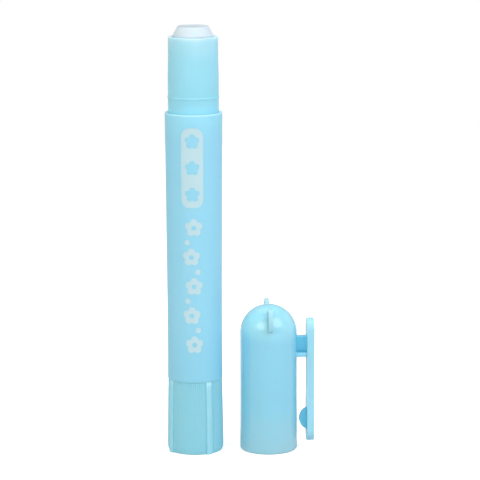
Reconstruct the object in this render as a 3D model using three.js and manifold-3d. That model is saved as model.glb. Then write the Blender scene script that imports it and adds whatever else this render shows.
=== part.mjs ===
// A slim twist-up glue stick, standing on its knob, with its clip cap taken off and standing beside it.
// Sizes are in millimetres and +Z is up. The origin is the centre of the knob's flat base.
// Turning the knob turns a lead screw. The screw lifts a keyed carrier, and the carrier lifts the glue.

import * as THREE from 'three';
import { mergeVertices } from 'three/addons/utils/BufferGeometryUtils.js';
import Module from 'manifold-3d';

const wasm = await Module();
wasm.setup();

// Clearances
const SEAT_GAP = 0.1; // round a piece that is pressed home
const RUN_GAP = 0.2; // round a piece that slides or turns
const FOOT_GAP = 0.3; // between the knob and the barrel's foot

// Knob
const KNOB_HEIGHT = 20.56;
const KNOB_TOP_RADIUS = 7.56;
const KNOB_BASE_RADIUS = 7.84;
const KNOB_RELIEF = 0.55; // of the panels' foot, inwards
const KNOB_RELIEF_HEIGHT = 1.3;
const RIB_RELIEF_SHARE = 0.2; // of that relief, at the ribs' feet
const KNOB_FLOOR = 1.6;
const KNOB_WALL = 1.9;
const RIB_COUNT = 4;
const RIB_HEIGHT = 0.34;
const RIB_FOOT_WIDTH = 2.0;
const RIB_CREST_WIDTH = 1.5;
const RIB_END_HEIGHT = 0.1; // to which a rib falls at the knob's top edge
const RIB_END_LENGTH = 0.9; // over which it falls
const RIB_FIRST_ANGLE = 29.5; // degrees from the front, towards +X
const FLUTE_PITCH = 0.47;
const FLUTE_DEPTH = 0.12;
const SPIGOT_LENGTH = 5.6;
const SPIGOT_WALL = 1.2;
const BOSS_RADIUS = 3.6;
const WEB_THICKNESS = 1.0;
const WEB_DROP = 6.0; // from the knob's top edge down to the webs

// Barrel
const BARREL_LENGTH = 75.24;
const BARREL_TOP_RADIUS = 8.0;
const BARREL_WAIST_RADIUS = 7.63;
const BARREL_FOOT_RADIUS = 7.69;
const BARREL_WALL = 0.84;
const BARREL_ROUND = 0.14;
const FOOT_FLARE_LENGTH = 8.0;
const WAIST_LENGTH = 12.0;
const LIP_LENGTH = 2.6;
const LIP_FLARE = 0.05;
const SEAT_DEPTH = 6.0; // of the sleeve's collar below the barrel's shoulder

// Neck sleeve
const NECK_HEIGHT = 20.94; // above the shoulder
const NECK_BASE_RADIUS = 7.03;
const NECK_TOP_RADIUS = 6.92;
const NECK_STRAIGHT = 10.4; // from the shoulder to where the neck starts to narrow
const NECK_DRAFT_HEIGHT = 14.4; // from the shoulder to where it stops
const NECK_ROUND = 0.12;
const BEAD_HEIGHT = 4.3; // of the bead's middle above the shoulder
const BEAD_WIDTH = 1.2;
const BEAD_PROUD = 0.11;
const BORE_RADIUS = 5.65;
const KEYWAY_COUNT = 4;
const KEYWAY_WIDTH = 1.7;
const KEYWAY_DEPTH = 0.55;
const KEYWAY_FIRST_ANGLE = 23; // degrees from the front, towards +X

// Glue
const GLUE_RADIUS = 5.36;
const GLUE_TIP_RADIUS = 4.34;
const GLUE_TIP_HEIGHT = 2.4;
const GLUE_TIP_ROUND = 0.2;
const GLUE_PROUD = 2.95; // above the neck's rim, as photographed
const GLUE_SOLID_TIP = 6.0; // above the blind bore
const GLUE_RETRACT = 8.0; // from the photographed place down to the lowest

// Lead screw
const SCREW_LEAD = 5.0;
const SCREW_ROOT_RADIUS = 1.6;
const SCREW_CREST_RADIUS = 2.2;
const FLIGHT_ROOT_WIDTH = 1.5;
const FLIGHT_CREST_WIDTH = 0.8;
const SCREW_TIP_LENGTH = 1.5;
const SCREW_TIP_GAP = 0.5; // from the thread's end to the foot of the bore's cone, with the glue right down
const JOURNAL_RADIUS = 2.5;
const BARB_RADIUS = 3.1;
const BARB_HEIGHT = 1.0;
const COLLAR_RADIUS = 4.2;
const COLLAR_HEIGHT = 1.1;
const TAIL_WIDTH = 3.5;
const TAIL_LENGTH = 10.0;

// Screw bush
const BUSH_FLANGE = 0.9;
const BUSH_SPIGOT = 3.4;

// Carrier
const NUT_HEIGHT = 6.0;
const NUT_RADIUS = 3.5;
const CUP_DEPTH = 4.0;
const CUP_WALL = 0.7;
const CUP_FLOOR = 1.2;
const KEY_LENGTH = 4.0;

// Cap
const CAP_BESIDE = 20.7; // from the stick's axis to the cap's, along X
const CAP_BEHIND = 0.39; // and along Y
const CAP_TURN = 3.4; // degrees about its own axis
const CAP_MOUTH_RADIUS = 8.04;
const CAP_DOME_RADIUS = 7.98;
const CAP_STRAIGHT = 33.6; // from the mouth up to the dome
const CAP_WALL = 0.86;
const CAP_MOUTH_ROUND = 0.6;
const CAP_FIT_GAP = 0.12; // between the cap's bore and the neck
const SNAP_GROOVE_DEPTH = 0.12;
const SNAP_LIP = 0.07; // inwards from the bore, below the groove
const SNAP_GROOVE_WIDTH = 1.6;
const SNAP_ENTRY = 0.8; // height of the widened entry at the mouth

// Ears
const EAR_RADIUS = 3.22;
const EAR_THICKNESS = 1.2;
const EAR_REACH = 8.55; // from the dome's centre to an ear's centre
const EAR_ANGLE = 35; // degrees above the horizontal
const EAR_ROUND = 0.12;

// Clip
const CLIP_LENGTH = 35.43;
const CLIP_WIDTH = 7.0;
const CLIP_WAIST = 5.6; // width halfway up
const CLIP_THICKNESS = 2.0;
const CLIP_FOOT = 2.12; // above the mouth
const CLIP_INNER = 10.72; // from the cap's axis to the clip's inner face
const CLIP_ROUND = 0.15;
const SHELF_HEIGHT = 26.78;
const SHELF_THICKNESS = 1.2;
const SHELF_WIDTH = 5.2;
const WEB_HEIGHT = 5.77; // with the shelf
const CLIP_WEB_THICKNESS = 1.6;
const BUMP_RADIUS = 3.38;
const BUMP_HEIGHT = 8.56; // of its middle above the mouth
const BUMP_DEPTH = 2.08;

// Facets
const ROUND_STEPS = 48;
const SMALL_STEPS = 24;
const TURN_STEPS = 10; // in one turn of the screw
const DOME_STEPS = 9;
const WAIST_STEPS = 8;
const OVERLAP = 0.2; // by which joined solids run into each other

// Places along Z, worked out from the sizes above
const barrelFoot = KNOB_HEIGHT + FOOT_GAP;
const shoulder = barrelFoot + BARREL_LENGTH;
const rim = shoulder + NECK_HEIGHT;
const glueTop = rim + GLUE_PROUD;
const barrelBore = BARREL_WAIST_RADIUS - BARREL_WALL;
const seatBore = NECK_BASE_RADIUS + SEAT_GAP;
const sleeveRadius = barrelBore - SEAT_GAP;
const spigotRadius = barrelBore - FOOT_GAP;
const spigotTop = KNOB_HEIGHT + SPIGOT_LENGTH;
const bossTop = spigotTop - COLLAR_HEIGHT;
const collarFoot = bossTop + SEAT_GAP;
const collarTop = collarFoot + COLLAR_HEIGHT;
const bushFoot = collarTop + RUN_GAP;
const sleeveFoot = bushFoot + BUSH_FLANGE + SEAT_GAP;
const bushTop = sleeveFoot + BUSH_SPIGOT;
const barbFoot = bushTop + RUN_GAP;
const barbTop = barbFoot + BARB_HEIGHT;
const carrierFoot = barbTop + FOOT_GAP + GLUE_RETRACT;
const cupFloor = carrierFoot + NUT_HEIGHT;
const glueBore = SCREW_CREST_RADIUS + RUN_GAP;
const glueBoreTop = glueTop - GLUE_SOLID_TIP;
const threadTop = glueBoreTop - glueBore - GLUE_RETRACT - SCREW_TIP_GAP;
const screwTop = threadTop + SCREW_TIP_LENGTH;
const runRadius = BORE_RADIUS - RUN_GAP;

const radians = THREE.MathUtils.degToRad;

// A closed three.js geometry as a manifold-3d solid.
function solid(geometry) {
  const bare = new THREE.BufferGeometry();
  bare.setAttribute('position', geometry.getAttribute('position'));
  bare.setIndex(geometry.index);
  const merged = mergeVertices(bare, 1e-4);
  const mesh = new wasm.Mesh({
    numProp: 3,
    vertProperties: merged.getAttribute('position').array,
    triVerts: new Uint32Array(merged.index.array),
  });
  return new wasm.Manifold(mesh);
}

// A manifold-3d solid as a three.js geometry.
function geometryOf(shape) {
  const mesh = shape.getMesh();
  const positions = new THREE.BufferAttribute(new Float32Array(mesh.vertProperties), 3);
  const indexed = new THREE.BufferGeometry().setAttribute('position', positions);
  indexed.setIndex(new THREE.BufferAttribute(new Uint32Array(mesh.triVerts), 1));
  const faceted = indexed.toNonIndexed();
  faceted.computeVertexNormals();
  return faceted;
}

// A solid of revolution about Z. The outline is [radius, height] points that run up the outside.
function revolve(outline, steps = ROUND_STEPS) {
  const points = outline.map(([radius, height]) => new THREE.Vector2(radius, height));
  return solid(new THREE.LatheGeometry(points, steps).rotateX(Math.PI / 2));
}

// A tube about Z: its outer outline runs up, and its inner outline runs down and closes on the start.
function revolveTube(outside, inside, steps = ROUND_STEPS) {
  return revolve([...outside, ...inside, outside[0]], steps);
}

// Points of an arc in the radius and height plane, its angles in degrees from outwards, upwards.
function arc(centreRadius, centreHeight, radius, from, to, count = 3) {
  return Array.from({ length: count + 1 }, (_, i) => {
    const angle = radians(from + ((to - from) * i) / count);
    return [centreRadius + radius * Math.cos(angle), centreHeight + radius * Math.sin(angle)];
  });
}

// A block from its low corner to its high corner.
function block(low, high) {
  const size = high.map((value, i) => value - low[i]);
  const middle = high.map((value, i) => (value + low[i]) / 2);
  return solid(new THREE.BoxGeometry(...size).translate(...middle));
}

// A flat plate cut from a shape that is drawn in Y and Z, its middle at x, with rounded edges.
function plateAcrossX(shape, x, thickness, edge, curveSegments) {
  const geometry = new THREE.ExtrudeGeometry(shape, {
    depth: thickness - 2 * edge,
    bevelEnabled: edge > 0,
    bevelThickness: edge,
    bevelSize: edge,
    bevelOffset: -edge,
    bevelSegments: 1,
    curveSegments,
  });
  geometry.translate(0, 0, edge - thickness / 2);
  geometry.rotateX(Math.PI / 2).rotateZ(Math.PI / 2);
  return solid(geometry.translate(x, 0, 0));
}

// Turns a solid about Z by an angle in degrees that is counted from the front, towards +X.
function turnFromFront(shape, angle) {
  return shape.rotate([0, 0, angle - 90]);
}

// A solid through a stack of closed rings, each a list of [x, y] points with as many points as the rest.
function loft(rings, heights) {
  const count = rings[0].length;
  const positions = rings.flatMap((ring, i) => ring.flatMap(([x, y]) => [x, y, heights[i]]));
  const last = rings.length - 1;
  const index = [];
  for (let i = 0; i < last; i++) {
    for (let j = 0; j < count; j++) {
      const here = i * count + j;
      const next = i * count + ((j + 1) % count);
      index.push(here, next, here + count, next, next + count, here + count);
    }
  }
  const contour = (ring) => ring.map(([x, y]) => new THREE.Vector2(x, y));
  for (const [a, b, c] of THREE.ShapeUtils.triangulateShape(contour(rings[0]), [])) {
    index.push(a, c, b);
  }
  const top = last * count;
  for (const [a, b, c] of THREE.ShapeUtils.triangulateShape(contour(rings[last]), [])) {
    index.push(top + a, top + b, top + c);
  }
  const geometry = new THREE.BufferGeometry();
  geometry.setAttribute('position', new THREE.Float32BufferAttribute(positions, 3));
  geometry.setIndex(index);
  return solid(geometry);
}

// The screw's section at one height: a round root with one flat-crested flight, which turns as it climbs.
function screwRing(height, clearance) {
  const perMillimetre = (2 * Math.PI) / SCREW_LEAD;
  const middle = (height - carrierFoot) * perMillimetre;
  const crestHalf = (FLIGHT_CREST_WIDTH / 2 + clearance) * perMillimetre;
  const rootHalf = (FLIGHT_ROOT_WIDTH / 2 + clearance) * perMillimetre;
  const rootArc = 2 * Math.PI - 2 * rootHalf;
  const at = (radius, angle) => [
    (radius + clearance) * Math.cos(middle + angle),
    (radius + clearance) * Math.sin(middle + angle),
  ];
  return [
    ...[-crestHalf, 0, crestHalf].map((angle) => at(SCREW_CREST_RADIUS, angle)),
    ...[0, 0.25, 0.5, 0.75, 1].map((share) => at(SCREW_ROOT_RADIUS, rootHalf + rootArc * share)),
  ];
}

// A length of the screw between two heights, grown by a clearance on every side.
function threadedRod(from, to, clearance) {
  const steps = Math.ceil(((to - from) / SCREW_LEAD) * TURN_STEPS);
  const heights = Array.from({ length: steps + 1 }, (_, i) => from + ((to - from) * i) / steps);
  return loft(heights.map((height) => screwRing(height, clearance)), heights);
}

// The knob's outline at one height: flat-crested ribs, with fine flutes on the panels between them. The panels
// are drawn in by the relief, and the ribs by a small share of it.
function knobRing(radius, ribHeight, relief) {
  const step = 360 / RIB_COUNT;
  const footHalf = THREE.MathUtils.radToDeg(RIB_FOOT_WIDTH / 2 / KNOB_BASE_RADIUS);
  const crestHalf = THREE.MathUtils.radToDeg(RIB_CREST_WIDTH / 2 / KNOB_BASE_RADIUS);
  const panelArc = radians(step - 2 * footHalf) * KNOB_BASE_RADIUS;
  const flutes = Math.round(panelArc / FLUTE_PITCH);
  const panel = radius - relief;
  const crest = radius + ribHeight - relief * RIB_RELIEF_SHARE;
  const points = [];
  const add = (reach, angle) => {
    const turned = radians(angle - 90);
    points.push([reach * Math.cos(turned), reach * Math.sin(turned)]);
  };
  for (let rib = 0; rib < RIB_COUNT; rib++) {
    const middle = RIB_FIRST_ANGLE + rib * step;
    add(panel, middle - footHalf);
    add(crest, middle - crestHalf);
    add(crest, middle + crestHalf);
    add(panel, middle + footHalf);
    for (let i = 1; i < 2 * flutes; i++) {
      const depth = i % 2 ? FLUTE_DEPTH : 0;
      add(panel - depth, middle + footHalf + ((step - 2 * footHalf) * i) / (2 * flutes));
    }
  }
  return points;
}

// The knob's panel radius at a height: a slow flare that quickens towards the base.
function knobRadius(height) {
  const rise = 1 - height / KNOB_HEIGHT;
  return KNOB_TOP_RADIUS + (KNOB_BASE_RADIUS - KNOB_TOP_RADIUS) * (1 - (1 - rise) ** 2);
}

function makeKnob() {
  const stations = [
    [0, RIB_HEIGHT, KNOB_RELIEF],
    [KNOB_RELIEF_HEIGHT / 3, RIB_HEIGHT, KNOB_RELIEF / 3],
    [KNOB_RELIEF_HEIGHT, RIB_HEIGHT, 0],
    [KNOB_HEIGHT / 2, RIB_HEIGHT, 0],
    [KNOB_HEIGHT - RIB_END_LENGTH, RIB_HEIGHT, 0],
    [KNOB_HEIGHT, RIB_END_HEIGHT, 0],
  ];
  const rings = stations.map(([height, rib, relief]) => knobRing(knobRadius(height), rib, relief));
  const skirt = loft(rings, stations.map(([height]) => height));
  const spigot = revolve([
    [0, KNOB_HEIGHT - OVERLAP], [spigotRadius, KNOB_HEIGHT - OVERLAP],
    [spigotRadius, spigotTop - SPIGOT_WALL / 2], [spigotRadius - SPIGOT_WALL / 2, spigotTop], [0, spigotTop],
  ]);
  const mouth = spigotRadius - SPIGOT_WALL;
  const cavity = revolve([
    [0, KNOB_FLOOR], [KNOB_TOP_RADIUS - KNOB_WALL - FLUTE_DEPTH - SPIGOT_WALL / 2, KNOB_FLOOR],
    [mouth, KNOB_HEIGHT], [mouth, spigotTop + OVERLAP], [0, spigotTop + OVERLAP],
  ]);
  const half = TAIL_WIDTH / 2 + SEAT_GAP;
  const socket = block([-half, -half, bossTop - TAIL_LENGTH - SEAT_GAP], [half, half, bossTop + OVERLAP]);
  const boss = revolve([
    [0, KNOB_FLOOR - OVERLAP], [BOSS_RADIUS, KNOB_FLOOR - OVERLAP], [BOSS_RADIUS, bossTop], [0, bossTop],
  ], SMALL_STEPS);
  const reach = KNOB_TOP_RADIUS - KNOB_WALL;
  const web = WEB_THICKNESS / 2;
  const webTop = KNOB_HEIGHT - WEB_DROP;
  const webs = block([-reach, -web, KNOB_FLOOR - OVERLAP], [reach, web, webTop])
    .add(block([-web, -reach, KNOB_FLOOR - OVERLAP], [web, reach, webTop]));
  return skirt.add(spigot).subtract(cavity).add(boss).add(webs).subtract(socket);
}

function makeBarrel() {
  const outside = [
    [barrelBore, barrelFoot],
    [BARREL_FOOT_RADIUS - BARREL_ROUND / 2, barrelFoot],
    [BARREL_FOOT_RADIUS, barrelFoot + BARREL_ROUND / 2],
    [BARREL_WAIST_RADIUS, barrelFoot + FOOT_FLARE_LENGTH],
    [BARREL_WAIST_RADIUS, barrelFoot + FOOT_FLARE_LENGTH + WAIST_LENGTH],
    [BARREL_TOP_RADIUS - LIP_FLARE, shoulder - LIP_LENGTH],
    ...arc(BARREL_TOP_RADIUS - BARREL_ROUND, shoulder - BARREL_ROUND, BARREL_ROUND, 0, 90, 2),
  ];
  const inside = [
    [seatBore, shoulder],
    [seatBore, shoulder - SEAT_DEPTH],
    [barrelBore, shoulder - SEAT_DEPTH - (seatBore - barrelBore)],
  ];
  return revolveTube(outside, inside);
}

// One straight cutter for a keyway along the sleeve's bore.
function keyway(angle) {
  const half = KEYWAY_WIDTH / 2;
  const depth = BORE_RADIUS + KEYWAY_DEPTH;
  const cutter = block([BORE_RADIUS / 2, -half, sleeveFoot - OVERLAP], [depth, half, rim + OVERLAP]);
  return turnFromFront(cutter, angle);
}

function keyAngles() {
  return Array.from({ length: KEYWAY_COUNT }, (_, i) => KEYWAY_FIRST_ANGLE + (360 / KEYWAY_COUNT) * i);
}

function makeSleeve() {
  const bead = shoulder + BEAD_HEIGHT;
  const seat = shoulder - SEAT_DEPTH;
  const step = NECK_BASE_RADIUS - sleeveRadius;
  const outside = [
    [BORE_RADIUS, sleeveFoot],
    [sleeveRadius, sleeveFoot],
    [sleeveRadius, seat - step],
    [NECK_BASE_RADIUS, seat],
    [NECK_BASE_RADIUS, bead - BEAD_WIDTH / 2],
    [NECK_BASE_RADIUS + BEAD_PROUD, bead - BEAD_WIDTH / 6],
    [NECK_BASE_RADIUS + BEAD_PROUD, bead + BEAD_WIDTH / 6],
    [NECK_BASE_RADIUS, bead + BEAD_WIDTH / 2],
    [NECK_BASE_RADIUS, shoulder + NECK_STRAIGHT],
    [NECK_TOP_RADIUS, shoulder + NECK_DRAFT_HEIGHT],
    ...arc(NECK_TOP_RADIUS - NECK_ROUND, rim - NECK_ROUND, NECK_ROUND, 0, 90, 2),
  ];
  const inside = [[BORE_RADIUS + NECK_ROUND, rim], [BORE_RADIUS, rim - NECK_ROUND]];
  const tube = revolveTube(outside, inside);
  return keyAngles().reduce((shape, angle) => shape.subtract(keyway(angle)), tube);
}

function makeGlue() {
  const foot = runRadius - CUP_WALL - RUN_GAP;
  const cupTop = cupFloor + CUP_DEPTH;
  return revolve([
    [0, glueBoreTop],
    [glueBore, glueBoreTop - glueBore],
    [glueBore, cupFloor],
    [foot, cupFloor],
    [foot, cupTop + SEAT_GAP],
    [GLUE_RADIUS, cupTop + SEAT_GAP],
    [GLUE_RADIUS, glueTop - GLUE_TIP_HEIGHT],
    ...arc(GLUE_TIP_RADIUS - GLUE_TIP_ROUND, glueTop - GLUE_TIP_ROUND, GLUE_TIP_ROUND, 20, 90, 2),
    [0, glueTop],
  ]);
}

function makeCarrier() {
  const cup = runRadius - CUP_WALL;
  const cupTop = cupFloor + CUP_DEPTH;
  const body = revolve([
    [0, carrierFoot], [NUT_RADIUS, carrierFoot], [NUT_RADIUS, cupFloor - CUP_FLOOR],
    [cup, cupFloor - CUP_FLOOR], [cup, carrierFoot], [runRadius, carrierFoot],
    [runRadius, cupTop], [cup, cupTop], [cup, cupFloor], [0, cupFloor],
  ]);
  const half = KEYWAY_WIDTH / 2 - RUN_GAP;
  const reach = BORE_RADIUS + KEYWAY_DEPTH - RUN_GAP;
  const key = block([cup + OVERLAP, -half, carrierFoot], [reach, half, carrierFoot + KEY_LENGTH]);
  const keyed = keyAngles().reduce((shape, angle) => shape.add(turnFromFront(key, angle)), body);
  return keyed.subtract(threadedRod(carrierFoot - OVERLAP, cupFloor + OVERLAP, RUN_GAP));
}

function makeScrew() {
  const taper = SCREW_ROOT_RADIUS - SCREW_TIP_LENGTH / 3;
  const stem = revolve([
    [0, collarFoot], [COLLAR_RADIUS, collarFoot], [COLLAR_RADIUS, collarTop],
    [JOURNAL_RADIUS, collarTop], [JOURNAL_RADIUS, barbFoot], [BARB_RADIUS, barbFoot],
    [SCREW_CREST_RADIUS, barbTop], [0, barbTop],
  ], SMALL_STEPS);
  const tip = revolve([
    [0, threadTop - OVERLAP], [SCREW_ROOT_RADIUS - OVERLAP, threadTop - OVERLAP],
    [SCREW_ROOT_RADIUS - OVERLAP, threadTop], [taper, screwTop], [0, screwTop],
  ], SMALL_STEPS / 2);
  const half = TAIL_WIDTH / 2;
  const tail = block([-half, -half, bossTop - TAIL_LENGTH], [half, half, collarFoot + OVERLAP]);
  return stem.add(tail).add(tip).add(threadedRod(barbTop - OVERLAP, threadTop, 0));
}

function makeBush() {
  const bore = JOURNAL_RADIUS + RUN_GAP;
  const spigot = BORE_RADIUS - SEAT_GAP;
  return revolveTube([
    [bore, bushFoot], [sleeveRadius, bushFoot], [sleeveRadius, bushFoot + BUSH_FLANGE],
    [spigot, bushFoot + BUSH_FLANGE], [spigot, bushTop - SPIGOT_WALL / 3],
    [spigot - SPIGOT_WALL / 3, bushTop],
  ], [[bore, bushTop]]);
}

// The cap's shell as a solid plug, without its hollow.
function capOutside() {
  return revolve([
    [0, 0],
    ...arc(CAP_MOUTH_RADIUS - CAP_MOUTH_ROUND, CAP_MOUTH_ROUND, CAP_MOUTH_ROUND, -90, 0),
    ...arc(0, CAP_STRAIGHT, CAP_DOME_RADIUS, 0, 90, DOME_STEPS),
  ]);
}

// The hollow: the bore with its snap groove and lip, and the inside of the dome.
function capInside() {
  const bore = NECK_BASE_RADIUS + CAP_FIT_GAP;
  const low = BEAD_HEIGHT - SNAP_GROOVE_WIDTH / 2;
  const high = BEAD_HEIGHT + SNAP_GROOVE_WIDTH / 2;
  return revolve([
    [0, -OVERLAP],
    [bore + SNAP_LIP, -OVERLAP],
    [bore + SNAP_LIP, SNAP_ENTRY],
    [bore - SNAP_LIP, (SNAP_ENTRY + low) / 2],
    [bore - SNAP_LIP, low],
    [bore + SNAP_GROOVE_DEPTH, low + SNAP_GROOVE_DEPTH],
    [bore + SNAP_GROOVE_DEPTH, high - SNAP_GROOVE_DEPTH],
    [bore, high],
    ...arc(0, CAP_STRAIGHT, CAP_DOME_RADIUS - CAP_WALL, 0, 90, DOME_STEPS - 3),
  ]);
}

// One ear, on the side that the sign gives: a round tab that stands out of the dome.
function ear(side) {
  const angle = radians(EAR_ANGLE);
  const disc = new THREE.Shape();
  const across = side * EAR_REACH * Math.cos(angle);
  disc.absarc(across, CAP_STRAIGHT + EAR_REACH * Math.sin(angle), EAR_RADIUS, 0, 2 * Math.PI);
  return plateAcrossX(disc, 0, EAR_THICKNESS, EAR_ROUND, SMALL_STEPS / 2);
}

// The clip's bar, a long plate with round ends and a slight waist, whose sides follow a squared sine.
function clipBar() {
  const radius = CLIP_WIDTH / 2;
  const low = CLIP_FOOT + radius;
  const high = CLIP_FOOT + CLIP_LENGTH - radius;
  const side = Array.from({ length: WAIST_STEPS - 1 }, (_, i) => {
    const share = (i + 1) / WAIST_STEPS;
    const half = radius - ((CLIP_WIDTH - CLIP_WAIST) / 2) * Math.sin(Math.PI * share) ** 2;
    return [half, low + (high - low) * share];
  });
  const bar = new THREE.Shape();
  bar.absarc(0, high, radius, 0, Math.PI);
  side.toReversed().forEach(([half, height]) => bar.lineTo(-half, height));
  bar.absarc(0, low, radius, Math.PI, 2 * Math.PI);
  side.forEach(([half, height]) => bar.lineTo(half, height));
  return plateAcrossX(bar, CLIP_INNER + CLIP_THICKNESS / 2, CLIP_THICKNESS, CLIP_ROUND, SMALL_STEPS / 4);
}

// The bracket that carries the clip: a thin web that stands on a wide shelf.
function clipBracket() {
  const from = CAP_DOME_RADIUS - CAP_WALL / 2;
  const to = CLIP_INNER + OVERLAP;
  const start = CAP_DOME_RADIUS - CAP_WALL - OVERLAP;
  const web = CLIP_WEB_THICKNESS / 2;
  const shelf = SHELF_WIDTH / 2;
  return block([from, -web, SHELF_HEIGHT], [to, web, SHELF_HEIGHT + WEB_HEIGHT])
    .add(block([start, -shelf, SHELF_HEIGHT], [to, shelf, SHELF_HEIGHT + SHELF_THICKNESS]));
}

// The half-round bump inside the clip, which grips a pocket's edge.
function clipBump() {
  const middle = CLIP_INNER - BUMP_DEPTH + BUMP_RADIUS;
  const disc = new THREE.CylinderGeometry(BUMP_RADIUS, BUMP_RADIUS, CLIP_WEB_THICKNESS, ROUND_STEPS);
  const limit = CLIP_WIDTH;
  const inner = block([0, -limit, 0], [CLIP_INNER + OVERLAP, limit, BUMP_HEIGHT + 2 * BUMP_RADIUS]);
  return solid(disc.translate(middle, 0, BUMP_HEIGHT)).intersect(inner);
}

function makeCap() {
  return capOutside()
    .add(ear(1)).add(ear(-1)).add(clipBar()).add(clipBracket()).add(clipBump())
    .subtract(capInside());
}

// Finishes, one for each piece
const FINISHES = {
  barrel: { color: 0x97d8f0, roughness: 0.34 },
  neck_sleeve: { color: 0xa0e2f7, roughness: 0.38 },
  glue: { color: 0xe8f4fa, roughness: 0.62 },
  glue_carrier: { color: 0xf2f4f4, roughness: 0.45 },
  feed_screw: { color: 0xf0f2f2, roughness: 0.4 },
  screw_bush: { color: 0xf2f4f4, roughness: 0.45 },
  twist_knob: { color: 0x92d2e4, roughness: 0.42 },
  cap: { color: 0x99dcf4, roughness: 0.22 },
};

// A named mesh of a solid in its own finish.
function piece(name, shape) {
  const mesh = new THREE.Mesh(geometryOf(shape), new THREE.MeshStandardMaterial({ ...FINISHES[name], metalness: 0 }));
  mesh.name = name;
  return mesh;
}

// The cap's group, standing mouth down beside the stick.
function capGroup() {
  const group = new THREE.Group();
  group.add(piece('cap', makeCap()));
  group.position.set(CAP_BESIDE, CAP_BEHIND, 0);
  group.rotation.z = radians(CAP_TURN);
  return group;
}

const glueStick = new THREE.Group();
glueStick.add(
  piece('barrel', makeBarrel()),
  piece('neck_sleeve', makeSleeve()),
  piece('glue', makeGlue()),
  piece('glue_carrier', makeCarrier()),
  piece('feed_screw', makeScrew()),
  piece('screw_bush', makeBush()),
  piece('twist_knob', makeKnob()),
  capGroup(),
);

export default glueStick;
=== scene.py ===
"""A slim twist-up glue stick with its clip cap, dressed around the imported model.

The stick stands on its knob, its axis on the origin, and the cap stands mouth down beside it.
Sizes are written in millimetres, +Z up and -Y to the front, and become metres when a mesh is made.
"""

from __future__ import annotations

import logging
import math
from collections.abc import Callable
from dataclasses import dataclass, field
from enum import Enum

import bmesh
import bpy
import numpy as np
from bpy.types import ID, Material, Node, NodeSocket, NodeTree, Object
from mathutils import Matrix


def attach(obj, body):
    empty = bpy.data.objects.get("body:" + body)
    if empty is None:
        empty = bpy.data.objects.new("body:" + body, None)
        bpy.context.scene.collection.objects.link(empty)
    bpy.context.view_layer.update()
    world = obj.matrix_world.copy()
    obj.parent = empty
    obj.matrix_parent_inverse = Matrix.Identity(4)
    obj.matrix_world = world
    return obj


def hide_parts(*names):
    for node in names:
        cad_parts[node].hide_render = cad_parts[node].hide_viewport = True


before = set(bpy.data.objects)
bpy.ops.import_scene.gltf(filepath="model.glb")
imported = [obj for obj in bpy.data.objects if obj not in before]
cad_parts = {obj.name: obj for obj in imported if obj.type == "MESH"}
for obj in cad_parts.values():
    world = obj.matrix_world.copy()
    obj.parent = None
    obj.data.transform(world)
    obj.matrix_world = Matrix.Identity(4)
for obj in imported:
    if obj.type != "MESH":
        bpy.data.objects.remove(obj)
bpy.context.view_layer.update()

MM = 0.001
FULL_TURN = 2 * math.pi
QUARTER_TURN = math.pi / 2
WELD = 0.0008
SLIVER = 0.0004
# The mesh attribute that carries painted highlights.
PAINTED_HIGHLIGHT = "crest"
WHITE = (1.0, 1.0, 1.0)
LOG = logging.getLogger("glue_stick")
Array = np.ndarray
Colour = tuple[float, float, float]
Sockets = bpy.types.bpy_prop_collection


# Surfaces


def directions(angle: Array) -> Array:
    """Unit vectors in a plane: cos a across and sin a up."""
    return np.stack([np.cos(angle), np.sin(angle)], axis=-1)


def rays(count: int) -> Array:
    """Directions in even steps of a full turn."""
    return directions(np.linspace(0, FULL_TURN, count, endpoint=False))


def round_axis(radius: Array, angle: Array, height: Array) -> Array:
    """Points about Z: x = r cos a, y = r sin a and z = h."""
    return np.stack(np.broadcast_arrays(radius * np.cos(angle), radius * np.sin(angle), height), axis=-1)


def stack_rows(angle: Array, *blocks: tuple[Array | float, Array | float]) -> Array:
    """Joins blocks of rows about Z into one grid.

    Args:
        angle: The columns' angles.
        *blocks: Radius and height of each block: one number, a column of rows, one row or a grid.

    Returns:
        A grid of points.
    """
    return np.concatenate([round_axis(np.atleast_2d(radius), angle, height) for radius, height in blocks])


def revolve(outline: Array, columns: int) -> Array:
    """Carries an outline of radius and height round Z, a row for each of its points and even columns."""
    angle = np.linspace(0, FULL_TURN, columns, endpoint=False)
    return stack_rows(angle, (outline[:, :1], outline[:, 1:]))


def from_nearest(angle: Array, first: float, count: int) -> Array:
    """How far an angle is from the nearest of some even marks: |(a - first + s / 2) mod s - s / 2|."""
    step = FULL_TURN / count
    return np.abs((angle - first + step / 2) % step - step / 2)


def rounded(corners: list[tuple[float, float, float]], steps: int = 6) -> Array:
    """An open outline whose corners are arcs.

    A corner's arc touches both sides at r / tan(half the angle) from the corner, and its centre lies on the
    bisector, at r / sin(half the angle).

    Args:
        corners: Radius, height and rounding of each corner; no rounding leaves it sharp.
        steps: Segments in one arc.

    Returns:
        The outline's points, radius and height.
    """
    places = np.array(corners, dtype=float)[:, :2]
    points = [places[:1]]
    for i in range(1, len(corners) - 1):
        corner, radius = places[i], corners[i][2]
        if radius <= 0:
            points.append(corner[None])
            continue
        sides = places[[i - 1, i + 1]] - corner
        back, ahead = (side / np.linalg.norm(side) for side in sides)
        half = math.acos(float(np.clip(back @ ahead, -1, 1))) / 2
        middle = corner + (back + ahead) / np.linalg.norm(back + ahead) * radius / math.sin(half)
        start, end = (corner + side * radius / math.tan(half) - middle for side in (back, ahead))
        sweep = math.pi - 2 * half
        share = np.linspace(0, 1, steps + 1)[:, None]
        arc = start * np.sin(sweep * (1 - share)) + end * np.sin(sweep * share)
        points.append(middle + arc / math.sin(sweep))
    return np.concatenate([*points, places[-1:]])


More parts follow.
